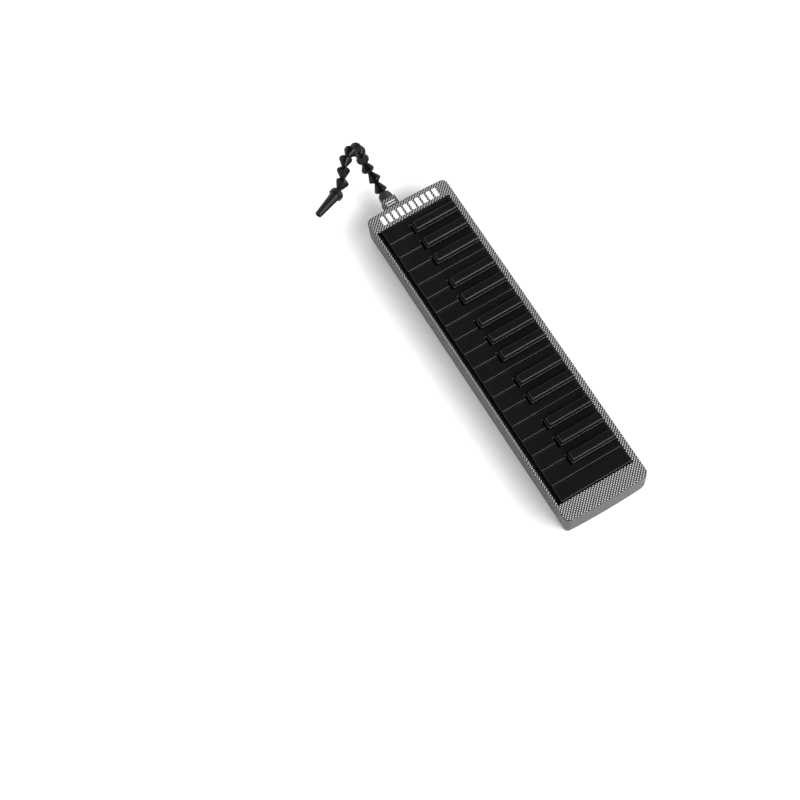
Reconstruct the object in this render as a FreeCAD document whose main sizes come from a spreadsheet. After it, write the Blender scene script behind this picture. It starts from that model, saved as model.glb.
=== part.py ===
"""A 32-key melodica with a flexible ball-and-socket mouthpiece hose, as a parametric FreeCAD document.

Millimetres. +X runs from the mouthpiece end to the high notes, +Y from the player's side to the rear and
+Z up. The origin is the middle of the case's flat underside. Every sub-part is an object of the document
whose sizes come from the "Sizes" sheet, and each one is written to parts/NAME.step.
"""

import FreeCAD
import Part
import math
import os
import re

from FreeCAD import Placement, Rotation, Vector

doc = FreeCAD.newDocument("Melodica")

# ---------------------------------------------------------------------------------------------- sizes

SIZES = {
    # case
    "case_length": 424.3,       # along X at the top face
    "case_width": 104.5,        # along Y at the top face
    "case_top": 44.0,           # height of the top face above the table
    "seam_height": 12.0,        # where the top and bottom shells meet
    "case_draft": 0.8,          # how far the walls lean in from the top face down to the seam
    "case_wall": 2.4,
    "corner_round": 7.0,
    "end_bulge": 1.2,           # each end wall is a shallow arc
    "rim_round": 1.4,
    "base_inset": 2.2,          # the bottom shell leans in by this from the seam to the base
    "base_round": 2.0,
    "seam_gap": 0.4,            # shadow groove between the shells
    # keyboard
    "key_pitch": 20.0,
    "key_left": -190.2,         # where the first natural key starts
    "key_front": -43.8,
    "key_rear": 44.1,
    "key_gap": 0.9,             # between neighbouring naturals
    "natural_deep": 10.0,
    "natural_bevel": 0.6,
    "sharp_wide": 11.8,         # across the foot, which stands just proud of the naturals
    "sharp_foot": 0.6,
    "sharp_ledge": 0.6,         # the crown starts this far inside the foot
    "sharp_front": -11.0,
    "sharp_tall": 7.4,          # above the naturals
    "sharp_deep": 9.2,          # below the naturals' top
    "sharp_draft": 0.5,         # how far each side leans in
    "sharp_nose": 1.8,          # how far the front leans back
    "sharp_bevel": 0.7,
    "sharp_gap": 0.6,           # beside a sharp
    "sharp_front_gap": 2.2,     # in front of it, because a pressed sharp also moves forwards
    "shift_cs": -1.63,          # how far each sharp stands off the line between its two naturals
    "shift_ds": 1.63,
    "shift_fs": -3.36,
    "shift_gs": 0.0,
    "shift_as": 3.36,
    "key_skin": 1.5,
    "window_gap": 0.7,
    "right_gap": 1.4,
    "front_gap": 5.3,
    # key mechanism
    "rod_y": 20.0,
    "rod_z": 31.0,
    "rod_radius": 1.5,
    "rod_bore": 1.56,
    "hub_radius": 3.4,
    "natural_hub": 8.0,
    "sharp_hub": 5.6,
    "pad_front": 34.0,
    "pad_long": 8.0,
    "pad_wide": 6.6,
    "pad_thick": 1.9,
    # wind chest
    "chest_left": -194.0,
    "chest_right": 196.0,
    "chest_front": -16.0,
    "chest_rear": 45.0,
    "chest_base": 10.0,
    "chest_top": 26.0,
    "chest_wall": 2.0,
    "air_top": 15.0,
    "cell_wide": 7.0,
    "plenum_left": -206.5,
    "plenum_front": -21.0,
    "plenum_top": 30.0,
    "cover_base": 3.0,
    "cover_top": 9.2,
    # neck and hose
    "neck_y": -13.0,
    "neck_z": 23.0,
    "neck_wide": 17.8,
    "neck_tall": 15.0,
    "neck_end": -231.0,
    "neck_bore": 4.5,
    "collar_flats": 14.6,
    "collar_long": 10.0,
    "collar_reach": 17.4,       # from the neck's end to the first ball's centre
    "link_pitch": 14.0,
    "ball_radius": 5.6,
    "socket_radius": 5.72,
    "link_rim": 7.6,
    "link_mouth": 6.4,
    "mouth_back": 2.7,          # the mouth's plane, behind the ball's centre
    "rim_back": 1.4,            # where the bevel from the mouth reaches the rim
    "link_waist": 3.0,
    "link_bore": 2.0,
    "nozzle_long": 36.0,
    "nozzle_flange": 8.2,
    "nozzle_root": 6.2,
    "nozzle_tip": 4.1,
    "nozzle_bore": 2.6,
    "throat_bore": 3.6,         # the wider inner end of the bore, clear of the tilted last ball
    "throat_long": 8.0,
    # drain valve
    "drain_x": -200.2,
    "drain_z": 20.0,
    "button_radius": 5.0,
    "button_proud": 2.4,
    "button_inner": 47.6,       # the head's inner face
    "stem_radius": 1.8,
    "seal_radius": 3.8,
    # fasteners
    "screw_boss": 2.7,
    "screw_hole": 1.25,
    "screw_shank": 1.2,
    "screw_head": 2.4,
    "front_screw_y": -45.5,
    "rear_screw_y": 41.0,
    "front_boss_top": 23.5,     # below the guide comb
}

sheet = doc.addObject("Spreadsheet::Sheet", "Sizes")
for row, (alias, value) in enumerate(SIZES.items(), start=1):
    sheet.set(f"A{row}", alias)
    sheet.set(f"B{row}", str(value))
    sheet.setAlias(f"B{row}", alias)
doc.recompute()


def size(alias):
    """A driving dimension, read from the sheet."""
    return float(sheet.get(alias))


def cells(text):
    """An expression in which each word that is an alias points at the sheet."""
    return re.sub(r"[a-z_]+", lambda word: ("Sizes." if word[0] in SIZES else "") + word[0], text)


def bind(thing, **fields):
    """Binds properties to expressions of the sheet's aliases."""
    for field, text in fields.items():
        thing.setExpression(field.replace("__", "."), cells(str(text)))
    return thing


sub_parts = []


def finish(thing, label):
    """Names a finished sub-part and keeps it for export."""
    thing.Label = label
    sub_parts.append(thing)
    return thing


# ----------------------------------------------------------------------------------- building blocks


def about(middle, half):
    """The (low, high) expressions a half-width either side of a middle."""
    return f"{middle} - {half}", f"{middle} + {half}"


def box(name, x, y, z):
    """A block between (low, high) expressions on each axis."""
    block = doc.addObject("Part::Box", name)
    bind(block, Length=f"({x[1]}) - ({x[0]})", Width=f"({y[1]}) - ({y[0]})")
    bind(block, Height=f"({z[1]}) - ({z[0]})")
    bind(block, Placement__Base__x=x[0], Placement__Base__y=y[0], Placement__Base__z=z[0])
    return block


def cylinder(name, radius, length, at=("0", "0", "0"), axis="Z"):
    """A cylinder from a point along +X, +Y or +Z."""
    rod = doc.addObject("Part::Cylinder", name)
    turn = {"X": Rotation(Vector(0, 1, 0), 90), "Y": Rotation(Vector(1, 0, 0), -90), "Z": Rotation()}
    rod.Placement = Placement(Vector(), turn[axis])
    bind(rod, Radius=radius, Height=length)
    bind(rod, Placement__Base__x=at[0], Placement__Base__y=at[1], Placement__Base__z=at[2])
    return rod


def cone(name, radius_low, radius_high, low, high):
    """A cone about Z between two heights."""
    piece = doc.addObject("Part::Cone", name)
    bind(piece, Radius1=radius_low, Radius2=radius_high, Height=f"({high}) - ({low})")
    return bind(piece, Placement__Base__z=low)


def sphere(name, radius, height="0"):
    """A ball centred on the Z axis."""
    ball = doc.addObject("Part::Sphere", name)
    return bind(ball, Radius=radius, Placement__Base__z=height)


def fuse(name, pieces):
    whole = doc.addObject("Part::MultiFuse", name)
    whole.Shapes = pieces
    whole.Refine = True
    return whole


def cut(name, base, tools):
    """base without the tools. One boolean, because the tools are joined first."""
    rest = doc.addObject("Part::Cut", name)
    rest.Base = base
    rest.Tool = tools[0] if len(tools) == 1 else fuse(name + "Tools", tools)
    return rest


def group(name, pieces):
    """Separate solids that share one node."""
    together = doc.addObject("Part::Compound", name)
    together.Links = pieces
    return together


def bevel_top(name, base, height, amount):
    """Chamfers every edge that lies in the horizontal plane at that height."""
    doc.recompute()
    edges = []
    for number, edge in enumerate(base.Shape.Edges, start=1):
        if all(abs(vertex.Point.z - height) < 1e-6 for vertex in edge.Vertexes):
            edges.append((number, amount, amount))
    bevelled = doc.addObject("Part::Chamfer", name)
    bevelled.Base = base
    bevelled.Edges = edges
    return bevelled


# -------------------------------------------------------------------------------------- case shells


def plate_outline(body, name, half_length, half_width, corner, bulge, height):
    """A sketch of a rounded rectangle whose two ends are shallow arcs, at a height above the base."""
    sketch = body.newObject("Sketcher::SketchObject", name)
    plane = [f for f in body.Origin.OriginFeatures if f.Role == "XY_Plane"][0]
    sketch.AttachmentSupport = [(plane, "")]
    sketch.MapMode = "FlatFace"
    sketch.AttachmentOffset = Placement(Vector(0, 0, height), Rotation())
    straight_x = half_length - corner
    straight_y = half_width - corner
    swing = math.degrees(math.atan2(2 * bulge * straight_y, straight_y**2 - bulge**2))
    # each corner turns a little less than a quarter, so that it meets the end arc without a kink
    turn = math.radians(90 - swing)
    middle = math.radians((90 - swing) / 2)
    for side_x, side_y in ((1, 1), (-1, 1), (-1, -1), (1, -1)):
        centre = Vector(side_x * straight_x, side_y * straight_y, 0)

        def around(angle, centre=centre, side_x=side_x, side_y=side_y):
            return centre + Vector(side_x * math.sin(angle), side_y * math.cos(angle), 0) * corner

        sketch.addGeometry(Part.Arc(around(0), around(middle), around(turn)), False)
        if side_x * side_y > 0:
            tip = around(turn)
            crown = Vector(tip.x + side_x * bulge * tip.y * side_y / straight_y, 0, 0)
            sketch.addGeometry(Part.Arc(tip, crown, Vector(tip.x, -tip.y, 0)), False)
            sketch.addGeometry(Part.LineSegment(around(0), Vector(-around(0).x, around(0).y, 0)), False)
    return sketch


def tapered_pad(body, name, sketch, length, lean):
    """A pad whose walls lean by `lean` over its length: positive leans out, going up."""
    pad = body.newObject("PartDesign::Pad", name)
    pad.Profile = sketch
    bind(pad, Length=length, TaperAngle=f"atan(({lean}) / ({length}))")
    doc.recompute()
    return pad


def tapered_pocket(body, name, sketch, length, lean):
    """A pocket that runs upwards from its sketch, with leaning walls."""
    before = body.Shape.Volume
    pocket = body.newObject("PartDesign::Pocket", name)
    pocket.Profile = sketch
    pocket.Reversed = True
    bind(pocket, Length=length, TaperAngle=f"atan(({lean}) / ({length}))")
    doc.recompute()
    assert body.Shape.Volume < before - 1, f"{name} cuts nothing"
    return pocket


def round_edges(body, name, radius, chosen):
    """Fillets the edges of the body's tip that the test picks."""
    names = [f"Edge{n}" for n, edge in enumerate(body.Shape.Edges, start=1) if chosen(edge)]
    base = body.Tip
    fillet = body.newObject("PartDesign::Fillet", name)
    fillet.Base = (base, names)
    bind(fillet, Radius=radius)
    doc.recompute()
    return fillet


def flat_at(height):
    """A test for edges that lie in the horizontal plane at that height."""
    return lambda edge: all(abs(v.Point.z - height) < 1e-4 for v in edge.Vertexes)


FRONT_SCREW_X = [-196, -98, 0, 98, 200]
REAR_SCREW_X = [200]
HOOK_X = [-170, -85, 0, 85, 170]


def screw_places():
    """(x, y expression, top of its boss) of each case screw."""
    front = [(x, "front_screw_y", "front_boss_top") for x in FRONT_SCREW_X]
    return front + [(x, "rear_screw_y", "case_top - 1") for x in REAR_SCREW_X]


def make_top_case():
    """Top shell: leaning walls, key window, square neck with its bore, and screw bosses."""
    seam, top, wall = size("seam_height"), size("case_top"), size("case_wall")
    draft = size("case_draft")
    half_length = size("case_length") / 2 - draft
    half_width = size("case_width") / 2 - draft
    corner = size("corner_round") - draft
    body = doc.addObject("PartDesign::Body", "TopShell")
    outline = plate_outline(
        body, "TopOutline", half_length, half_width, corner, size("end_bulge"), seam
   )
    tapered_pad(body, "TopWalls", outline, "case_top - seam_height", "case_draft")
    round_edges(body, "TopRim", "rim_round", flat_at(top))
    hollow = plate_outline(
        body, "TopHollow", half_length - wall, half_width - wall, corner - wall, size("end_bulge"), seam
   )
    tapered_pocket(body, "TopInside", hollow, "case_top - seam_height - case_wall", "case_draft")

    window = box(
        "KeyWindow",
        ("key_left - window_gap", "key_left + 19 * key_pitch + right_gap"),
        ("key_front - front_gap", "key_rear + window_gap"),
        ("case_top - case_wall - 1", "case_top + 1"),
   )
    button_hole = cylinder(
        "ButtonHole", "button_radius + 0.3", "12", ("drain_x", "case_width / 2 - 6", "drain_z"), "Y"
   )
    shell = cut("TopShellOpened", body, [window, button_hole])
    neck = box(
        "NeckBlock",
        ("neck_end", "1.5 - case_length / 2"),
        ("neck_y - neck_wide / 2", "neck_y + neck_wide / 2"),
        ("neck_z - neck_tall / 2", "neck_z + neck_tall / 2"),
   )
    bosses = [
        cylinder(f"TopBoss{n}", "screw_boss", f"{top_z} - seam_height", (x, y, "seam_height"))
        for n, (x, y, top_z) in enumerate(screw_places())
    ]
    webs = [
        box(
            f"BossWeb{n}",
            (f"{x} - 1", f"{x} + 1"),
            ("1.6 - case_width / 2", "front_screw_y - 2"),
            ("seam_height", "front_boss_top"),
       )
        for n, x in enumerate(FRONT_SCREW_X)
    ]
    catches = [
        box(f"Catch{n}", (f"{x} - 5", f"{x} + 5"), ("47.9", "49.6"), ("15.2", "17"))
        for n, x in enumerate(HOOK_X)
    ]
    solid = fuse("TopWithNeck", [shell, neck] + bosses + webs + catches)
    bore = cylinder("NeckBore", "neck_bore", "30", ("neck_end - 1", "neck_y", "neck_z"), "X")
    pilots = [
        cylinder(f"TopPilot{n}", "screw_hole", "10.5", (x, y, "seam_height - 1"))
        for n, (x, y, _) in enumerate(screw_places())
    ]
    finish(cut("TopCase", solid, [bore] + pilots), "top_case")


def make_bottom_case():
    """Bottom shell: a shallow tray with counterbored screw posts, and hooks for the rear wall's catches."""
    wall, inset = size("case_wall"), size("base_inset")
    draft = size("case_draft")
    half_length = size("case_length") / 2 - draft - inset
    half_width = size("case_width") / 2 - draft - inset
    corner = size("corner_round") - draft - inset
    body = doc.addObject("PartDesign::Body", "BottomShell")
    outline = plate_outline(body, "BottomOutline", half_length, half_width, corner, size("end_bulge"), 0)
    tapered_pad(body, "BottomWalls", outline, "seam_height - seam_gap", "base_inset - seam_gap")
    round_edges(body, "BottomEdge", "base_round", flat_at(0))
    hollow = plate_outline(
        body, "BottomHollow", half_length - wall, half_width - wall, corner - wall, size("end_bulge"), wall
   )
    tapered_pocket(body, "BottomInside", hollow, "seam_height - case_wall", "base_inset - seam_gap")
    posts = [
        cylinder(f"BottomPost{n}", "screw_boss + 0.8", "seam_height - 1.9", (x, y, "1.8"))
        for n, (x, y, _) in enumerate(screw_places())
    ]
    hooks = []
    for n, x in enumerate(HOOK_X):
        across = (f"{x} - 5", f"{x} + 5")
        hooks.append(box(f"HookArm{n}", across, ("46.2", "47.6"), ("case_wall - 0.4", "19")))
        hooks.append(box(f"HookBarb{n}", across, ("47.4", "48.4"), ("17.2", "19")))
    solid = fuse("BottomWithPosts", [body] + posts + hooks)
    holes = []
    for n, (x, y, _) in enumerate(screw_places()):
        holes.append(cylinder(f"BottomHole{n}", "screw_hole + 0.3", "seam_height + 2", (x, y, "-1")))
        holes.append(cylinder(f"BottomSink{n}", "screw_head + 0.3", "4", (x, y, "-1")))
    finish(cut("BottomCase", solid, holes), "bottom_case")


def make_case_screws():
    """Self-tapping screws that come up through the bottom shell into the top shell's bosses."""
    screws = []
    for n, (x, y, _) in enumerate(screw_places()):
        head = cylinder(f"ScrewHead{n}", "screw_head", "1.8", (x, y, "1.2"))
        shank = cylinder(f"ScrewShank{n}", "screw_shank", "17", (x, y, "3"))
        slot = box(f"ScrewSlot{n}", about(x, 0.3), about(y, 1.6), ("0.5", "1.8"))
        cross = box(f"ScrewCross{n}", about(x, 1.6), about(y, 0.3), ("0.5", "1.8"))
        screws.append(cut(f"CaseScrew{n}", fuse(f"ScrewBlank{n}", [head, shank]), [slot, cross]))
    finish(group("CaseScrews", screws), "case_screws")


# --------------------------------------------------------------------------------------------- keys

NOTES = ["c", "cs", "d", "ds", "e", "f", "fs", "g", "gs", "a", "as", "b"]
LOWEST_NOTE = 41        # F, counted in semitones with C of octave 3 at 36
KEY_COUNT = 32


def keyboard():
    """(name, is it a sharp, its place counted in naturals) of each key. A sharp's place is a boundary."""
    keys, naturals = [], 0
    for note in range(LOWEST_NOTE, LOWEST_NOTE + KEY_COUNT):
        name = NOTES[note % 12]
        sharp = name.endswith("s")
        keys.append((f"key_{name}{note // 12}", sharp, naturals))
        naturals += 0 if sharp else 1
    return keys


KEYS = keyboard()
SHARP_NOTES = {place: name[4:6] for name, sharp, place in KEYS if sharp}


def sharp_middle(place):
    return f"key_left + {place} * key_pitch + shift_{SHARP_NOTES[place]}"


def rear_edges(place):
    """The two sides of a natural's rear part, which stands between sharps or plain gaps."""
    low = f"key_left + {place} * key_pitch + key_gap / 2"
    high = f"key_left + {place + 1} * key_pitch - key_gap / 2"
    if place in SHARP_NOTES:
        low = f"{sharp_middle(place)} + sharp_wide / 2 + sharp_gap"
    if place + 1 in SHARP_NOTES:
        high = f"{sharp_middle(place + 1)} - sharp_wide / 2 - sharp_gap"
    return low, high


def key_middle(sharp, place):
    """The expression for the middle of a key's lever, which is the middle of its rear part."""
    if sharp:
        return sharp_middle(place)
    low, high = rear_edges(place)
    return f"({low} + {high}) / 2"


def lever_pieces(name, middle, hub_width):
    """The hub on the pivot rod, and the post that carries the pad. They hang below the key's cap."""
    hub = cylinder(
        name + "Hub", "hub_radius", hub_width, (f"{middle} - {hub_width} / 2", "rod_y", "rod_z"), "X"
   )
    web = box(
        name + "Web",
        (f"{middle} - {hub_width} / 2", f"{middle} + {hub_width} / 2"),
        ("rod_y - hub_radius", "rod_y + hub_radius"),
        ("rod_z", "case_top - 1"),
   )
    post = box(
        name + "Post",
        (f"{middle} - pad_wide / 2", f"{middle} + pad_wide / 2"),
        ("pad_front", "pad_front + pad_long"),
        ("chest_top + 0.05 + pad_thick", "case_top - 1"),
   )
    return [hub, web, post]


def with_pad(name, lever, middle, label):
    """The moving key: its lever and the soft pad stuck under its tail, as two solids of one node."""
    pad = box(
        name + "Pad",
        (f"{middle} - pad_wide / 2 + 0.2", f"{middle} + pad_wide / 2 - 0.2"),
        ("pad_front + 0.2", "pad_front + pad_long - 0.2"),
        ("chest_top + 0.05", "chest_top + 0.05 + pad_thick"),
   )
    finish(group(name, [lever, pad]), label)


def rod_hole(name, middle):
    return cylinder(name + "Bore", "rod_bore", "24", (f"{middle} - 12", "rod_y", "rod_z"), "X")


def make_natural(label, place):
    """A natural: a hollow cap with bevelled edges, cut away at the back beside each sharp."""
    name = label.title().replace("_", "")
    low = f"key_left + {place} * key_pitch + key_gap / 2"
    high = f"key_left + {place + 1} * key_pitch - key_gap / 2"
    depth = ("case_top - natural_deep", "case_top")
    blank = box(name + "Blank", (low, high), ("key_front", "key_rear"), depth)
    tools = []
    inner_low, inner_high = f"{low} + key_skin", f"{high} - key_skin"
    rear_low, rear_high = rear_edges(place)
    cut_z = ("case_top - natural_deep - 1", "case_top + 1")
    cut_y = ("sharp_front - sharp_front_gap", "key_rear + 1")
    if place in SHARP_NOTES:
        tools.append(box(name + "NotchLow", (f"{low} - 1", rear_low), cut_y, cut_z))
    if place + 1 in SHARP_NOTES:
        tools.append(box(name + "NotchHigh", (rear_high, f"{high} + 1"), cut_y, cut_z))
    shaped = cut(name + "Shaped", blank, tools) if tools else blank
    cap = bevel_top(name + "Cap", shaped, size("case_top"), size("natural_bevel"))
    hollow_z = ("case_top - natural_deep - 1", "case_top - key_skin")
    front = box(
        name + "HollowFront",
        (inner_low, inner_high),
        ("key_front + key_skin", "sharp_front - sharp_front_gap - key_skin"),
        hollow_z,
   )
    rear = box(
        name + "HollowRear",
        (f"{rear_low} + key_skin", f"{rear_high} - key_skin"),
        ("sharp_front - sharp_front_gap - key_skin - 1", "key_rear - key_skin"),
        hollow_z,
   )
    skin = cut(name + "Skin", cap, [front, rear])
    middle = key_middle(False, place)
    solid = fuse(name + "Solid", [skin] + lever_pieces(name, middle, "natural_hub"))
    lever = cut(name + "Lever", solid, [rod_hole(name, middle)])
    with_pad(name, lever, middle, label)


def make_sharp(label, place):
    """A sharp: a tall cap with leaning sides and nose, bevelled on top and hollow below."""
    name = label.title().replace("_", "")
    middle = key_middle(True, place)
    half = "sharp_wide / 2"
    lower = box(
        name + "Lower",
        (f"{middle} - {half}", f"{middle} + {half}"),
        ("sharp_front", "key_rear"),
        ("case_top - sharp_deep", "case_top + sharp_foot"),
   )
    crown = doc.addObject("Part::Wedge", name + "Crown")
    crown.Placement = Placement(Vector(), Rotation(Vector(1, 0, 0), 90))
    crown_wide = "(sharp_wide - 2 * sharp_ledge)"
    bind(crown, Xmin="0", Xmax=crown_wide, Ymin="0", Ymax="sharp_tall")
    bind(crown, Zmin="0", Zmax="key_rear - sharp_front - sharp_ledge")
    bind(crown, X2min="sharp_draft", X2max=f"{crown_wide} - sharp_draft")
    bind(crown, Z2min="0.3", Z2max="key_rear - sharp_front - sharp_nose")
    bind(crown, Placement__Base__x=f"{middle} - {half} + sharp_ledge", Placement__Base__y="key_rear")
    bind(crown, Placement__Base__z="case_top")
    whole = fuse(name + "Whole", [lower, crown])
    cap = bevel_top(name + "Cap", whole, size("case_top") + size("sharp_tall"), size("sharp_bevel"))
    hollow = box(
        name + "Hollow",
        (f"{middle} - {half} + key_skin", f"{middle} + {half} - key_skin"),
        ("sharp_front + key_skin + 0.6", "key_rear - key_skin"),
        ("case_top - sharp_deep - 1", "case_top - key_skin"),
   )
    skin = cut(name + "Skin", cap, [hollow])
    solid = fuse(name + "Solid", [skin] + lever_pieces(name, middle, "sharp_hub"))
    lever = cut(name + "Lever", solid, [rod_hole(name, middle)])
    with_pad(name, lever, middle, label)


def make_key_rod():
    """The steel rod on which every key pivots."""
    rod = cylinder(
        "KeyRod", "rod_radius", "chest_right - chest_left - 2", ("chest_left + 1", "rod_y", "rod_z"), "X"
   )
    finish(rod, "key_rod")


LEAF_CLIMB = 57.7       # degrees above level


def make_key_springs():
    """A spring-steel comb screwed to the chest, with one leaf rising to the underside of each key's cap."""
    along = ("chest_left + 4", "chest_right - 4")
    strip = box("SpringStrip", along, ("7", "12"), ("chest_top", "chest_top + 0.4"))
    leaves = []
    for label, sharp, place in KEYS:
        leaf = doc.addObject("Part::Box", "Leaf" + label.title().replace("_", ""))
        leaf.Placement = Placement(Vector(), Rotation(Vector(1, 0, 0), 180 - LEAF_CLIMB))
        bind(leaf, Length="2.4", Width="18.5", Height="0.4")
        bind(leaf, Placement__Base__x=f"{key_middle(sharp, place)} - 1.2")
        bind(leaf, Placement__Base__y="8", Placement__Base__z="chest_top + 0.4")
        leaves.append(leaf)
    finish(fuse("KeySprings", [strip] + leaves), "key_springs")


def make_key_comb():
    """The front rail on legs, with one guide post inside each natural."""
    rail = box("CombRail", ("key_left", "key_left + 19 * key_pitch"), ("-45.5", "-33"), ("24", "28"))
    legs = [
        box(f"CombLeg{n}", (f"{x} - 3", f"{x} + 3"), ("-44", "-34"), ("case_wall", "25"))
        for n, x in enumerate((-180, -120, -40, 40, 120, 184))
    ]
    posts = []
    for _, sharp, place in KEYS:
        if not sharp:
            middle = f"key_left + ({place} + 0.5) * key_pitch"
            posts.append(
                box(f"Guide{place}", (f"{middle} - 7.6", f"{middle} + 7.6"), ("-38", "-34"), ("27", "38"))
           )
    finish(fuse("KeyComb", [rail] + legs + posts), "key_comb")


def make_key_felt():
    """Two felt strips that stop the keys: one on the front rail and one on the chest's rib."""
    front = box("FrontFelt", ("key_left", "key_left + 19 * key_pitch"), ("-45", "-40"), ("28", "30"))
    rear = box(
        "RearFelt",
        ("chest_left + 6", "chest_right - 6"),
        ("chest_front + 0.2", "chest_front + 7"),
        ("29.6", "31.5"),
   )
    finish(group("KeyFelt", [front, rear]), "key_felt")


# -------------------------------------------------------------------------------------- wind chest


def make_wind_chest():
    """The air chest: a cell above each reed, a pallet hole under each pad, and the inlet plenum."""
    along, deep = ("chest_left", "chest_right"), ("chest_front", "chest_rear")
    block = box("ChestBlock", along, deep, ("chest_base", "chest_top"))
    plenum = box(
        "PlenumBlock",
        ("plenum_left", "chest_left + 1"),
        ("plenum_front", "chest_rear"),
        ("chest_base", "plenum_top"),
   )
    rib = box(
        "FeltRib", ("chest_left + 6", "chest_right - 6"), ("chest_front", "chest_front + 7.2"), ("25", "29.6")
   )
    spigot = cylinder("InletSpigot", "neck_bore + 1.2", "4", ("plenum_left - 2.2", "neck_y", "neck_z"), "X")
    adding = [block, plenum, rib, spigot]
    for n, place in enumerate([0] + [p for p in range(1, 19) if p not in SHARP_NOTES] + [19]):
        x = f"key_left + {place} * key_pitch" + {0: " - 2.6", 19: " + 2.6"}.get(place, "")
        adding.append(box(f"RodPost{n}", about(x, 0.9), about("rod_y", 3), ("25", "33.2")))
    for label, sharp, place in KEYS:
        if sharp:
            x = key_middle(True, place)
            guide_y = ("sharp_front + 4.2", "sharp_front + 7.2")
            adding.append(box(f"SharpGuide{place}", about(x, 2.8), guide_y, ("25", "38.4")))
    solid = fuse("ChestSolid", adding)
    wall = "chest_wall"
    air = box(
        "AirSpace",
        (f"chest_left + {wall}", f"chest_right - {wall}"),
        (f"chest_front + {wall}", f"chest_rear - {wall}"),
        ("chest_base - 1", "air_top"),
   )
    plenum_air = box(
        "PlenumAir",
        (f"plenum_left + {wall}", f"chest_left - {wall}"),
        (f"plenum_front + {wall}", f"chest_rear - {wall}"),
        (f"chest_base + {wall}", f"plenum_top - {wall}"),
   )
    passage_z = ("chest_base + 2", "air_top - 0.5")
    passage = box("Passage", about("chest_left", 3), ("-12", "40"), passage_z)
    inlet = cylinder("Inlet", "neck_bore", "7", ("plenum_left - 3", "neck_y", "neck_z"), "X")
    drain = cylinder("DrainHole", "2.3", "6", ("drain_x", "chest_rear - 3", "drain_z"), "Y")
    removing = [air, plenum_air, passage, inlet, drain]
    for label, sharp, place in KEYS:
        x, name = key_middle(sharp, place), label.title().replace("_", "")
        removing.append(
            box(
                "Cell" + name,
                (f"{x} - cell_wide / 2", f"{x} + cell_wide / 2"),
                ("-6", "chest_rear - 3"),
                ("air_top - 0.5", "chest_top - 2"),
           )
       )
        removing.append(
            box(
                "Pallet" + name,
                (f"{x} - 2", f"{x} + 2"),
                ("pad_front + 1.2", "pad_front + pad_long - 1.2"),
                ("chest_top - 3", "chest_top + 1"),
           )
       )
    rod_start = ("chest_left", "rod_y", "rod_z")
    removing.append(cylinder("RodBores", "rod_radius + 0.03", "chest_right - chest_left", rod_start, "X"))
    finish(cut("WindChest", solid, removing), "wind_chest")


def make_chest_cover():
    """The tray that closes the chest from below, and the gasket between them."""
    along, deep = ("chest_left", "chest_right"), ("chest_front", "chest_rear")
    block = box("CoverBlock", along, deep, ("cover_base", "cover_top"))
    hollow = box(
        "CoverHollow",
        ("chest_left + chest_wall", "chest_right - chest_wall"),
        ("chest_front + chest_wall", "chest_rear - chest_wall"),
        ("cover_base + chest_wall", "cover_top + 1"),
   )
    finish(cut("ChestCover", block, [hollow]), "chest_cover")
    ring = box("GasketBlock", along, deep, ("cover_top", "chest_base"))
    middle = box(
        "GasketHollow",
        ("chest_left + chest_wall", "chest_right - chest_wall"),
        ("chest_front + chest_wall", "chest_rear - chest_wall"),
        ("cover_top - 1", "chest_base + 1"),
   )
    finish(cut("ChestGasket", ring, [middle]), "chest_gasket")


def reed_length(number):
    """Reeds shorten evenly from the lowest note to the highest."""
    return 40 - 26 * number / (KEY_COUNT - 1)


def make_reeds():
    """Two brass reed plates, slotted under each cell, and the reed tongues riveted below them."""
    half = KEY_COUNT // 2
    tongues = []
    for label, first in (("reed_plate_low", 0), ("reed_plate_high", half)):
        members = KEYS[first : first + half]
        start = f"{key_middle(*members[0][1:])} - 5"
        end = f"{key_middle(*members[-1][1:])} + 4.6"
        name = label.title().replace("_", "")
        plate = box(name + "Blank", (start, end), ("-9", "chest_rear - 2.2"), ("air_top - 1", "air_top"))
        slots = []
        for number, (key, sharp, place) in enumerate(members, start=first):
            x, long = key_middle(sharp, place), reed_length(number)
            part = key.title().replace("_", "")
            slots.append(
                box("Slot" + part, about(x, 1.6), (f"36 - {long}", "36"), about("air_top", 1.5))
           )
            tongues.append(
                box(
                    "Reed" + part,
                    (f"{x} - 1.4", f"{x} + 1.4"),
                    (f"36.4 - {long}", "40"),
                    ("air_top - 1.4", "air_top - 1"),
               )
           )
        finish(cut(name, plate, slots), label)
    finish(group("ReedTongues", tongues), "reed_tongues")


def make_chest_screws():
    """Small screws that hold the reed plates under the chest."""
    screws = []
    for n, x in enumerate((-188, -92, -7, -2, 92, 188)):
        for y in ("-7.6", "41.5"):
            tag = f"{n}{'F' if y < '0' else 'R'}"
            head = cylinder("PlateHead" + tag, "1.2", "0.8", (x, y, "air_top - 0.8 - 1.0"))
            screws.append(head)
    finish(group("ChestScrews", screws), "chest_screws")


# ------------------------------------------------------------------------------------- drain valve


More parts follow.
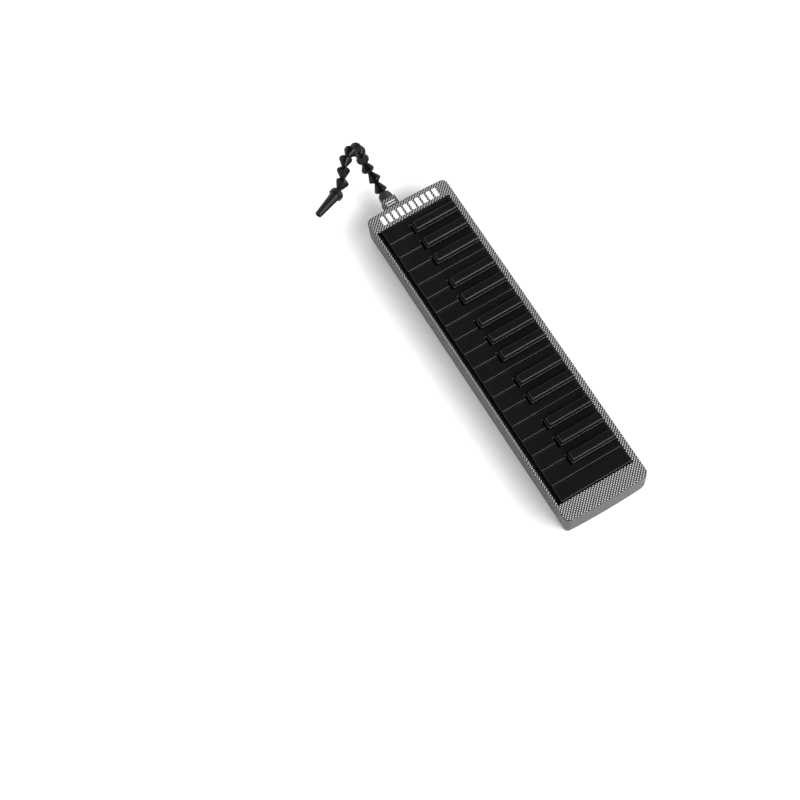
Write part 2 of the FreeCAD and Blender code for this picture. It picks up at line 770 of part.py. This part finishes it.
def make_drain():
    """A push button in the rear wall whose stem lifts a seal off the plenum, and its return spring."""
    def along_rear(name, radius, start, end):
        return cylinder(name, radius, f"({end}) - ({start})", ("drain_x", start, "drain_z"), "Y")

    wall_y = "case_width / 2 - case_draft * (case_top - drain_z) / (case_top - seam_height)"
    head = along_rear("ButtonHead", "button_radius", "button_inner", f"{wall_y} + button_proud")
    stem = along_rear("ButtonStem", "stem_radius", "chest_rear - 4", "button_inner + 0.2")
    button = fuse("ButtonSolid", [head, stem])
    seal_rear = "chest_rear - chest_wall - 0.05"
    seal_blank = along_rear("SealBlank", "seal_radius", f"{seal_rear} - 1.5", seal_rear)
    seal_hole = along_rear("SealHole", "stem_radius", f"{seal_rear} - 2.5", f"{seal_rear} + 1")
    seal = cut("DrainSeal", seal_blank, [seal_hole])
    finish(group("DrainButton", [button, seal]), "drain_button")

    across = ("drain_x - 3.8", "drain_x + 3.8")
    foot = box("SpringFoot", across, ("chest_rear", "chest_rear + 0.4"), ("drain_z - 6", "drain_z - 4.4"))
    leaves = []
    for side, left in (("Left", "drain_x - 3.8"), ("Right", "drain_x + 2.4")):
        leaf = doc.addObject("Part::Box", "SpringLeaf" + side)
        leaf.Placement = Placement(Vector(), Rotation(Vector(1, 0, 0), -12))
        bind(leaf, Length="1.4", Width="0.35", Height="9.6")
        bind(leaf, Placement__Base__x=left, Placement__Base__y="chest_rear + 0.1")
        bind(leaf, Placement__Base__z="drain_z - 5.2")
        leaves.append(leaf)
    finish(fuse("DrainSpring", [foot] + leaves), "drain_spring")


# --------------------------------------------------------------------------------------------- hose

# each link's heading, in degrees round from +X, and its climb above level, from the collar outwards
LINK_AIMS = [
    (180.3, 25.6),
    (188.3, 29.2),
    (184.5, 50.9),
    (207.1, 76.6),
    (293.5, 70.3),
    (298.9, 43.4),
    (308.2, 17.5),
    (319.3, -3.1),
    (323.9, -12.5),
    (304.2, -7.3),
]
NOZZLE_AIM = (295.4, 9.2)


def aim_vector(aim):
    heading, climb = (math.radians(angle) for angle in aim)
    return Vector(math.cos(climb) * math.cos(heading), math.cos(climb) * math.sin(heading), math.sin(climb))


def place_along(thing, start, direction):
    """Stands a piece made along +Z at a point, so that it points along the direction."""
    thing.Placement = Placement(start, Rotation(Vector(0, 0, 1), direction))
    return thing


def socket_pieces(name):
    """The flared rim round a ball: a bevel from the mouth out to the rim."""
    return [
        cone(name + "Bevel", "link_mouth", "link_rim", "0 - mouth_back", "0 - rim_back"),
        cylinder(name + "Rim", "link_rim", "rim_back + 0.5", ("0", "0", "0 - rim_back")),
    ]


def make_link(label):
    """One hose link along +Z: a socket round the last ball, a long cone, a waist and its own ball."""
    name = label.title().replace("_", "")
    outer = socket_pieces(name) + [
        cone(name + "Cone", "link_rim", "link_waist", "0.5", "8.8"),
        cylinder(name + "Waist", "link_waist", "link_pitch - 8", ("0", "0", "8")),
        sphere(name + "Ball", "ball_radius", "link_pitch"),
    ]
    solid = fuse(name + "Solid", outer)
    bore = cylinder(name + "Bore", "link_bore", "link_pitch + 8", ("0", "0", "0"))
    mouth = cone(name + "Throat", "link_bore", "link_bore + 1.6", "link_pitch + 2.4", "link_pitch + 6")
    return cut(name, solid, [sphere(name + "Socket", "socket_radius"), bore, mouth])


def make_connector():
    """The hexagonal collar that plugs into the neck and ends in the first ball."""
    collar = doc.addObject("Part::Prism", "Collar")
    collar.Polygon = 6
    bind(collar, Circumradius="collar_flats / 2 / cos(30)", Height="collar_long", Placement__Base__z="0.3")
    limit = cone("CollarLimit", "collar_flats / 2 + 4", "collar_flats / 2 - 0.6", "-3", "collar_long + 0.3")
    crown = doc.addObject("Part::Common", "CollarCrown")
    crown.Base, crown.Tool = collar, limit
    outer = [
        crown,
        cylinder("Plug", "neck_bore - 0.1", "14", ("0", "0", "-12")),
        cone("CollarCone", "6.4", "link_waist", "collar_long + 0.3", "collar_reach - 4.6"),
        cylinder("CollarWaist", "link_waist", "5", ("0", "0", "collar_reach - 5")),
        sphere("CollarBall", "ball_radius", "collar_reach"),
    ]
    solid = fuse("CollarSolid", outer)
    bore = cylinder("CollarBore", "link_bore", "collar_reach + 20", ("0", "0", "-13"))
    mouth = cone("CollarThroat", "link_bore", "link_bore + 1.6", "collar_reach + 2.4", "collar_reach + 6")
    return cut("HoseConnector", solid, [bore, mouth])


def make_nozzle():
    """The mouthpiece: a socket, a round flange and a long taper that the player blows into."""
    outer = socket_pieces("Nozzle") + [
        cylinder("NozzleFlange", "nozzle_flange", "3.2", ("0", "0", "0.4")),
        cone("NozzleTaper", "nozzle_root", "nozzle_tip", "3.4", "nozzle_long"),
    ]
    solid = fuse("NozzleSolid", outer)
    bore = cylinder("NozzleBore", "nozzle_bore", "nozzle_long + 4", ("0", "0", "0"))
    throat = cylinder("NozzleThroat", "throat_bore", "throat_long", ("0", "0", "0"))
    return cut("Nozzle", solid, [sphere("NozzleSocket", "socket_radius"), bore, throat])


def make_hose():
    """The collar, the chain of links and the mouthpiece, each placed at the last one's ball."""
    neck = Vector(size("neck_end"), size("neck_y"), size("neck_z"))
    towards = Vector(-1, 0, 0)
    finish(place_along(make_connector(), neck, towards), "hose_connector")
    joint = neck + towards * size("collar_reach")
    joints = [joint]
    for number, aim in enumerate(LINK_AIMS, start=1):
        label = f"hose_link_{number:02d}"
        finish(place_along(make_link(label), joint, aim_vector(aim)), label)
        joint = joint + aim_vector(aim) * size("link_pitch")
        joints.append(joint)
    finish(place_along(make_nozzle(), joint, aim_vector(NOZZLE_AIM)), "mouthpiece")
    return joints


# ------------------------------------------------------------------------------------------- build


def check_and_export():
    """Stops if any object failed or any sub-part isn't sound, then writes the STEP files."""
    doc.recompute()
    bad = [thing.Name for thing in doc.Objects if {"Invalid", "Error"} & set(thing.State)]
    assert not bad, f"failed objects: {bad}"
    for thing in sub_parts:
        assert not thing.Shape.isNull() and thing.Shape.isValid(), f"{thing.Label} isn't sound"
        assert thing.Shape.Solids, f"{thing.Label} has no solid"
    os.makedirs("parts", exist_ok=True)
    for thing in sub_parts:
        thing.Shape.exportStep(f"parts/{thing.Label}.step")


make_top_case()
make_bottom_case()
make_case_screws()
for key_label, is_sharp, key_place in KEYS:
    if is_sharp:
        make_sharp(key_label, key_place)
    else:
        make_natural(key_label, key_place)
make_key_rod()
make_key_springs()
make_key_comb()
make_key_felt()
make_wind_chest()
make_chest_cover()
make_reeds()
make_chest_screws()
make_drain()
hose_joints = make_hose()
check_and_export()

for thing in sub_parts:
    print(f"{thing.Label}: {len(thing.Shape.Solids)} solids, {thing.Shape.Volume / 1000:.2f} cm3")
for number, point in enumerate(hose_joints, start=1):
    print(f"hose joint {number}: {point.x:.2f} {point.y:.2f} {point.z:.2f}")
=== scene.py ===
"""Looks for the melodica: materials, printed motifs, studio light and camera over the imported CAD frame."""

import math

import bmesh
import bpy
from mathutils import Matrix, Vector


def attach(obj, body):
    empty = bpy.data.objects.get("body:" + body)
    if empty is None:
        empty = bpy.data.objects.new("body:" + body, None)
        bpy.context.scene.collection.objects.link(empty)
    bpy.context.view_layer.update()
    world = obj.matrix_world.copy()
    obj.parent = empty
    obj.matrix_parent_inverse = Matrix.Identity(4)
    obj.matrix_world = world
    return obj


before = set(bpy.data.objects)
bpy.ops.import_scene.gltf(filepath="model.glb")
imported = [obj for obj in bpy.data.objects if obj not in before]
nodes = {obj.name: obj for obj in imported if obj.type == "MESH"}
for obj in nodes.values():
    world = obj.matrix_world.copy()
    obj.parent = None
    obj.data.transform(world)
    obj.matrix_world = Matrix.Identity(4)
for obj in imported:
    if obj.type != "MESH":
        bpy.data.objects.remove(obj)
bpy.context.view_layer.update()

MM = 0.001


# ------------------------------------------------------------------------------------------ node helpers

BEVEL_SAMPLES = 6


class Shader:
    """A node material being built: a Principled shader with helpers for procedural inputs."""

    def __init__(self, name):
        self.material = bpy.data.materials.new(name)
        self.material.use_nodes = True
        self.tree = self.material.node_tree
        self.principled = self.tree.nodes["Principled BSDF"]
        self.place = self.add("ShaderNodeTexCoord").outputs["Object"]

    def add(self, kind, **settings):
        node = self.tree.nodes.new(kind)
        for key, value in settings.items():
            setattr(node, key, value)
        return node

    def feed(self, socket, source):
        """Links an output to an input, or sets the input's own value."""
        if isinstance(source, bpy.types.NodeSocket):
            self.tree.links.new(source, socket)
        else:
            socket.default_value = source

    def math(self, operation, first, second=0.0, third=0.0):
        node = self.add("ShaderNodeMath", operation=operation)
        for socket, source in zip(node.inputs, (first, second, third)):
            self.feed(socket, source)
        return node.outputs[0]

    def noise(self, scale, detail=3.0, stretch=(1, 1, 1)):
        """Noise over the object, with scale in features per metre."""
        mapping = self.add("ShaderNodeMapping")
        mapping.inputs["Scale"].default_value = stretch
        self.feed(mapping.inputs["Vector"], self.place)
        node = self.add("ShaderNodeTexNoise")
        node.inputs["Scale"].default_value = scale
        node.inputs["Detail"].default_value = detail
        self.feed(node.inputs["Vector"], mapping.outputs[0])
        return node.outputs["Fac"]

    def ramp(self, factor, low, high, start=0.3, end=0.7):
        """Colour between two tones as the factor goes from start to end."""
        node = self.add("ShaderNodeValToRGB")
        first, last = node.color_ramp.elements
        first.position, last.position = start, end
        first.color, last.color = (*low, 1), (*high, 1)
        self.feed(node.inputs[0], factor)
        return node.outputs["Color"]

    def between(self, factor, low, high, start=0.3, end=0.7):
        """A number between low and high as the factor goes from start to end."""
        node = self.add("ShaderNodeMapRange")
        for socket, source in zip(node.inputs, (factor, start, end, low, high)):
            self.feed(socket, source)
        return node.outputs[0]

    def mix(self, factor, first, second):
        """Colour from first to second as the factor goes from 0 to 1."""
        node = self.add("ShaderNodeMix", data_type="RGBA")
        self.feed(node.inputs["Factor"], factor)
        self.feed(node.inputs[6], first if isinstance(first, bpy.types.NodeSocket) else (*first, 1))
        self.feed(node.inputs[7], second if isinstance(second, bpy.types.NodeSocket) else (*second, 1))
        return node.outputs[2]

    def bump(self, height, distance, strength=1.0, normal=None):
        """Surface normal tilted by a height that spans a distance in metres."""
        node = self.add("ShaderNodeBump")
        node.inputs["Strength"].default_value = strength
        node.inputs["Distance"].default_value = distance
        self.feed(node.inputs["Height"], height)
        if normal is not None:
            self.feed(node.inputs["Normal"], normal)
        return node.outputs[0]

    def rounded(self, radius):
        """Surface normal with edges softened over a radius in metres."""
        node = self.add("ShaderNodeBevel", samples=BEVEL_SAMPLES)
        node.inputs["Radius"].default_value = radius
        return node.outputs[0]

    def finish(self, **sockets):
        """Feeds the Principled shader's sockets, named with _ for a space, and gives the material."""
        for name, source in sockets.items():
            self.feed(self.principled.inputs[name.replace("_", " ")], source)
        return self.material


MOTTLE = 45.0                # slow changes of a plastic's colour, per metre
STREAKS = 700.0              # rolling marks of a metal, per metre
FIBRES = 1600.0              # of the felt, per metre


def moulded(name, low, high, rough, grain=900.0, depth=0.02 * MM, ior=1.5, edge=0.0):
    """Moulded plastic or rubber: a slow mottle in its colour, and a fine grain in its gloss and bump.

    The colour lies between low and high, and the roughness in the range rough. The grain has that many
    features per metre, depth metres high. Edges are softened over the radius edge, in metres.
    """
    shader = Shader(name)
    mottle = shader.noise(MOTTLE)
    fine = shader.noise(grain, detail=5.0)
    softened = shader.rounded(edge) if edge else None
    return shader.finish(
        Base_Color=shader.ramp(mottle, low, high),
        Roughness=shader.between(fine, *rough),
        Normal=shader.bump(fine, depth, normal=softened),
        IOR=ior,
    )


def metal(name, low, high, rough, stretch):
    """Drawn or rolled metal: streaks in its colour, gloss and bump, long where stretch is below 1."""
    shader = Shader(name)
    streaks = shader.noise(STREAKS, detail=4.0, stretch=stretch)
    return shader.finish(
        Base_Color=shader.ramp(streaks, low, high),
        Metallic=1.0,
        Roughness=shader.between(streaks, *rough),
        Normal=shader.bump(streaks, 0.01 * MM),
    )


# the printed weave is bright dots on black
ROW = 2.6 * MM               # between two rows of dots
STEP = 2.1 * MM              # between two dots of a row
DOT_RIM, DOT_FULL = 0.4, 0.85    # heights of a dot's crown at which its tone starts to rise and is full
DOT_DARK = (0.004, 0.004, 0.005)
DOT_BRIGHT = (0.5, 0.5, 0.515)
DOT_DEPTH = 0.05 * MM
# painted shade: the dark tone the walls are pulled towards, so they come out darker than the top
WALL_SHADE_TONE = (0.003, 0.003, 0.003)
WALL_SHADING = 0.78           # painted shade: how far the walls' print is darkened to the wall shade tone
WALL_CLIMB = 0.6             # a wall's normal climbs less than this
END_LEAN = 0.7               # an end wall's normal lies along X by more than this
WEAR = 220.0                 # patches of wear per metre
WEAR_MOST = 0.08             # share of WEAR_TONE where the wear is greatest
WEAR_TONE = (0.06, 0.06, 0.063)


def woven_shell(name):
    """Black plastic printed with a light twill, laid flat on the top face and on each wall, with painted
    shade darkening the walls.
    """
    shader = Shader(name)
    spot = shader.add("ShaderNodeSeparateXYZ")
    shader.feed(spot.inputs[0], shader.place)
    facing = shader.add("ShaderNodeSeparateXYZ")
    shader.feed(facing.inputs[0], shader.add("ShaderNodeNewGeometry").outputs["True Normal"])
    x, y, z = spot.outputs
    upright = shader.math("LESS_THAN", shader.math("ABSOLUTE", facing.outputs[2]), WALL_CLIMB)
    endwise = shader.math("GREATER_THAN", shader.math("ABSOLUTE", facing.outputs[0]), END_LEAN)
    # across and along are the two directions of the print: x and y on top, x and z on a side wall, and
    # y and z on an end wall
    wall_u = shader.math("MULTIPLY_ADD", shader.math("SUBTRACT", y, x), endwise, x)
    across = shader.math("MULTIPLY_ADD", shader.math("SUBTRACT", wall_u, x), upright, x)
    along = shader.math("MULTIPLY_ADD", shader.math("SUBTRACT", z, y), upright, y)

    # rows run diagonally, and each row's dots stand half a step from the last row's
    diagonal = 1 / math.sqrt(2)
    over_rows = shader.math("MULTIPLY", shader.math("ADD", across, along), diagonal)
    down_row = shader.math("MULTIPLY", shader.math("SUBTRACT", across, along), diagonal)
    row = shader.math("DIVIDE", over_rows, ROW)
    odd = shader.math("MULTIPLY", shader.math("FLOORED_MODULO", shader.math("FLOOR", row), 2.0), 0.5)
    step = shader.math("ADD", shader.math("DIVIDE", down_row, STEP), odd)
    crown_row = shader.math("SINE", shader.math("MULTIPLY", shader.math("FRACT", row), math.pi))
    crown_step = shader.math("SINE", shader.math("MULTIPLY", shader.math("FRACT", step), math.pi))
    crown = shader.math("MULTIPLY", crown_row, crown_step)
    worn = shader.noise(WEAR)
    tone = shader.ramp(crown, DOT_DARK, DOT_BRIGHT, DOT_RIM, DOT_FULL)
    # painted shade: the walls, picked by their normal, are darkened below the top's tone
    wall_shaded = shader.mix(shader.math("MULTIPLY", upright, WALL_SHADING), tone, WALL_SHADE_TONE)
    faded = shader.mix(shader.between(worn, 0.0, WEAR_MOST), wall_shaded, WEAR_TONE)
    return shader.finish(
        Base_Color=faded,
        Roughness=shader.between(worn, 0.26, 0.36),
        Normal=shader.bump(crown, DOT_DEPTH, strength=0.6),
        IOR=1.16,
    )


def felted(name):
    """Dark felt: fine fibres in its colour, roughness and bump, with a soft sheen."""
    shader = Shader(name)
    fibres = shader.noise(FIBRES, detail=8.0, stretch=(1, 3, 1))
    return shader.finish(
        Base_Color=shader.ramp(fibres, (0.008, 0.008, 0.009), (0.02, 0.02, 0.022)),
        Roughness=shader.between(fibres, 0.85, 1.0),
        Normal=shader.bump(fibres, 0.3 * MM),
        Sheen_Weight=0.5,
    )


# --------------------------------------------------------------------------------------------- materials

finishes = {
    "patterned_shell": woven_shell("patterned_shell"),
    "lower_shell": moulded("lower_shell", (0.012, 0.012, 0.013), (0.02, 0.02, 0.022), (0.35, 0.5)),
    "key_plastic": moulded(
        "key_plastic", (0.003, 0.003, 0.0038), (0.0045, 0.0043, 0.0055), (0.2, 0.27), edge=0.9 * MM, ior=1.36
    ),
    "hose_plastic": moulded(
        "hose_plastic", (0.002, 0.002, 0.002), (0.004, 0.004, 0.004), (0.06, 0.1), depth=0.004 * MM, ior=1.22
    ),
    "collar_plastic": moulded(
        "collar_plastic", (0.008, 0.008, 0.009), (0.016, 0.016, 0.018), (0.4, 0.55), edge=0.5 * MM, ior=1.3
    ),
    "nozzle_plastic": moulded(
        "nozzle_plastic", (0.005, 0.005, 0.005), (0.009, 0.009, 0.009), (0.2, 0.28), edge=0.4 * MM, ior=1.25
    ),
    "button_plastic": moulded("button_plastic", (0.01, 0.01, 0.01), (0.02, 0.02, 0.02), (0.3, 0.4)),
    "inner_plastic": moulded("inner_plastic", (0.5, 0.49, 0.46), (0.6, 0.59, 0.55), (0.4, 0.55)),
    "rubber": moulded("rubber", (0.015, 0.015, 0.015), (0.03, 0.03, 0.03), (0.7, 0.85), grain=1500.0),
    "reed_brass": metal("reed_brass", (0.62, 0.4, 0.14), (0.8, 0.56, 0.24), (0.22, 0.36), (1, 0.08, 1)),
    "steel": metal("steel", (0.5, 0.5, 0.51), (0.68, 0.68, 0.7), (0.18, 0.3), (0.08, 1, 1)),
    "felt": felted("felt"),
    "print_white": moulded("print_white", (0.72, 0.72, 0.73), (0.86, 0.86, 0.87), (0.3, 0.4)),
}

# what each node is made of, apart from the keys and the hose's links
NODE_FINISH = {
    "top_case": "patterned_shell",
    "bottom_case": "lower_shell",
    "case_screws": "steel",
    "wind_chest": "inner_plastic",
    "chest_cover": "inner_plastic",
    "chest_gasket": "rubber",
    "chest_screws": "steel",
    "reed_plate_low": "reed_brass",
    "reed_plate_high": "reed_brass",
    "reed_tongues": "reed_brass",
    "key_rod": "steel",
    "key_springs": "steel",
    "key_comb": "lower_shell",
    "key_felt": "felt",
    "drain_spring": "steel",
    "drain_button": "button_plastic",
    "hose_connector": "collar_plastic",
    "mouthpiece": "nozzle_plastic",
}


def finish_of(node):
    """The name of a node's material. Every key_ node that isn't in NODE_FINISH is a key."""
    if node.startswith("key_") and node not in NODE_FINISH:
        return "key_plastic"
    if node.startswith("hose_link"):
        return "hose_plastic"
    return NODE_FINISH[node]


for label, piece in nodes.items():
    material = finishes[finish_of(label)]
    if piece.material_slots:
        for held in piece.material_slots:
            held.material = material
    else:
        piece.data.materials.append(material)


# --------------------------------------------------------------------------------------- printed motifs

# in mm, as in the CAD model
CASE_TOP = 44.0
NECK_TOP = 30.5
INK_THICK = 0.06
INK_SINK = 0.01              # of which this much lies below the face
INK_CORNER = 0.45            # radius of the corners
END_BARS = 10
END_LEFT, END_RIGHT = -206.6, -195.6
END_FRONT = -37.0
END_PITCH = 7.6
END_WIDE = 4.6
NECK_BARS = 3
NECK_LEFT = -226.0
NECK_FRONT, NECK_REAR = -19.0, -7.0
NECK_PITCH = 3.4
NECK_WIDE = 1.5

SAME_HEIGHT = 0.0001 * MM


def printed(name, outlines, face_height):
    """White ink laid on a level face: each outline becomes a thin pad with rounded corners."""
    mesh = bmesh.new()
    for outline in outlines:
        corners = [mesh.verts.new((x * MM, y * MM, (face_height - INK_SINK) * MM)) for x, y in outline]
        face = mesh.faces.new(corners)
        pulled = bmesh.ops.extrude_face_region(mesh, geom=[face])
        for corner in pulled["geom"]:
            if isinstance(corner, bmesh.types.BMVert):
                corner.co.z += INK_THICK * MM
    bmesh.ops.recalc_face_normals(mesh, faces=mesh.faces)
    upright = [edge for edge in mesh.edges if abs(edge.verts[0].co.z - edge.verts[1].co.z) > SAME_HEIGHT]
    bmesh.ops.bevel(mesh, geom=upright, offset=INK_CORNER * MM, segments=4, affect="EDGES", profile=0.5)
    data = bpy.data.meshes.new(name)
    mesh.to_mesh(data)
    mesh.free()
    data.materials.append(finishes["print_white"])
    piece = bpy.data.objects.new(name, data)
    bpy.context.scene.collection.objects.link(piece)
    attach(piece, "instrument")


def bar(left, front, right, rear):
    """Outline of one plain bar."""
    return [(left, front), (right, front), (right, rear), (left, rear)]


def end_bars():
    """A row of bars from front to rear, each lying across the case's low end strip."""
    for place in range(END_BARS):
        front = END_FRONT + place * END_PITCH
        yield bar(END_LEFT, front, END_RIGHT, front + END_WIDE)


def neck_bars():
    """A row of narrow bars from left to right on top of the neck."""
    for place in range(NECK_BARS):
        left = NECK_LEFT + place * NECK_PITCH
        yield bar(left, NECK_FRONT, left + NECK_WIDE, NECK_REAR)


printed("end_motif", end_bars(), CASE_TOP)
printed("neck_motif", neck_bars(), NECK_TOP)


# ------------------------------------------------------------------------------------------ studio, light

FLOOR_HALF = 4.0             # metres


def floor():
    """A plain white table under the instrument, at height 0."""
    mesh = bpy.data.meshes.new("floor")
    near, far = -FLOOR_HALF, FLOOR_HALF
    mesh.from_pydata([(near, near, 0), (far, near, 0), (far, far, 0), (near, far, 0)], [], [(0, 1, 2, 3)])
    shader = Shader("table_white")
    grain = shader.noise(120.0)
    mesh.materials.append(
        shader.finish(
            Base_Color=shader.ramp(grain, (0.9, 0.9, 0.905), (0.93, 0.93, 0.935)),
            Roughness=shader.between(grain, 0.55, 0.65),
            Normal=shader.bump(grain, 0.01 * MM),
        )
    )
    table = bpy.data.objects.new("floor", mesh)
    bpy.context.scene.collection.objects.link(table)


def softbox(name, azimuth, climb, distance, size, radiance):
    """A rectangular soft light aimed at the origin, with its size and distance in metres.

    Azimuth is from +X towards +Y and climb is above level, both in degrees. Radiance is that of its face.
    """
    light = bpy.data.lights.new(name, "AREA")
    light.shape = "RECTANGLE"
    light.size, light.size_y = size
    light.energy = radiance * math.pi * size[0] * size[1]
    lamp = bpy.data.objects.new(name, light)
    a, e = math.radians(azimuth), math.radians(climb)
    out = Vector((math.cos(a) * math.cos(e), math.sin(a) * math.cos(e), math.sin(e)))
    lamp.location = out * distance
    lamp.rotation_euler = out.to_track_quat("Z", "Y").to_euler()
    bpy.context.scene.collection.objects.link(lamp)


SKY_STRENGTH = 1.9
HORIZON_TO, ZENITH_FROM = 0.45, 0.86     # upward part of the direction where it starts to dim and is dimmest
HORIZON = (1, 1, 1, 1)
ZENITH = (0.04, 0.04, 0.042, 1)


def sky():
    """Bright round the horizon and dim overhead, as in a studio with white walls and a dark ceiling."""
    world = bpy.data.worlds.new("studio")
    world.use_nodes = True
    tree = world.node_tree
    backdrop = tree.nodes["Background"]
    place = tree.nodes.new("ShaderNodeTexCoord")
    split = tree.nodes.new("ShaderNodeSeparateXYZ")
    ramp = tree.nodes.new("ShaderNodeValToRGB")
    tree.links.new(place.outputs["Generated"], split.inputs[0])
    tree.links.new(split.outputs["Z"], ramp.inputs[0])
    tree.links.new(ramp.outputs["Color"], backdrop.inputs["Color"])
    low, high = ramp.color_ramp.elements
    low.position, high.position = HORIZON_TO, ZENITH_FROM
    low.color, high.color = HORIZON, ZENITH
    backdrop.inputs["Strength"].default_value = SKY_STRENGTH
    bpy.context.scene.world = world


floor()
sky()
softbox("key_light", azimuth=32.0, climb=42.0, distance=5.0, size=(4.6, 2.8), radiance=9.5)


# ------------------------------------------------------------------------------------------------ camera

TARGET = Vector((-1.95, -130.26, 44.0)) * MM
AZIMUTH = math.radians(68.23)        # round from the front, -Y, towards +X
ELEVATION = math.radians(67.31)      # above level
ROLL = math.radians(-9.41)           # anticlockwise, seen from behind the camera
DISTANCE = 2.0489                    # metres from the target
FOCAL_LENGTH = 84.73                 # mm
SENSOR = 36.0                        # mm across
NEAREST = 0.05                       # metres, where the view starts

back = Vector((
    math.sin(AZIMUTH) * math.cos(ELEVATION),
    -math.cos(AZIMUTH) * math.cos(ELEVATION),
    math.sin(ELEVATION),
))
level = Vector((math.cos(AZIMUTH), math.sin(AZIMUTH), 0))
upward = back.cross(level)
right = level * math.cos(ROLL) + upward * math.sin(ROLL)
up = upward * math.cos(ROLL) - level * math.sin(ROLL)
lens = bpy.data.cameras.new("camera")
lens.lens = FOCAL_LENGTH
lens.sensor_width = SENSOR
lens.clip_start = NEAREST
camera = bpy.data.objects.new("camera", lens)
camera.matrix_world = Matrix((right, up, back)).transposed().to_4x4()
camera.location = TARGET + back * DISTANCE
bpy.context.scene.collection.objects.link(camera)
bpy.context.scene.camera = camera
bpy.context.scene.view_settings.view_transform = "Standard"
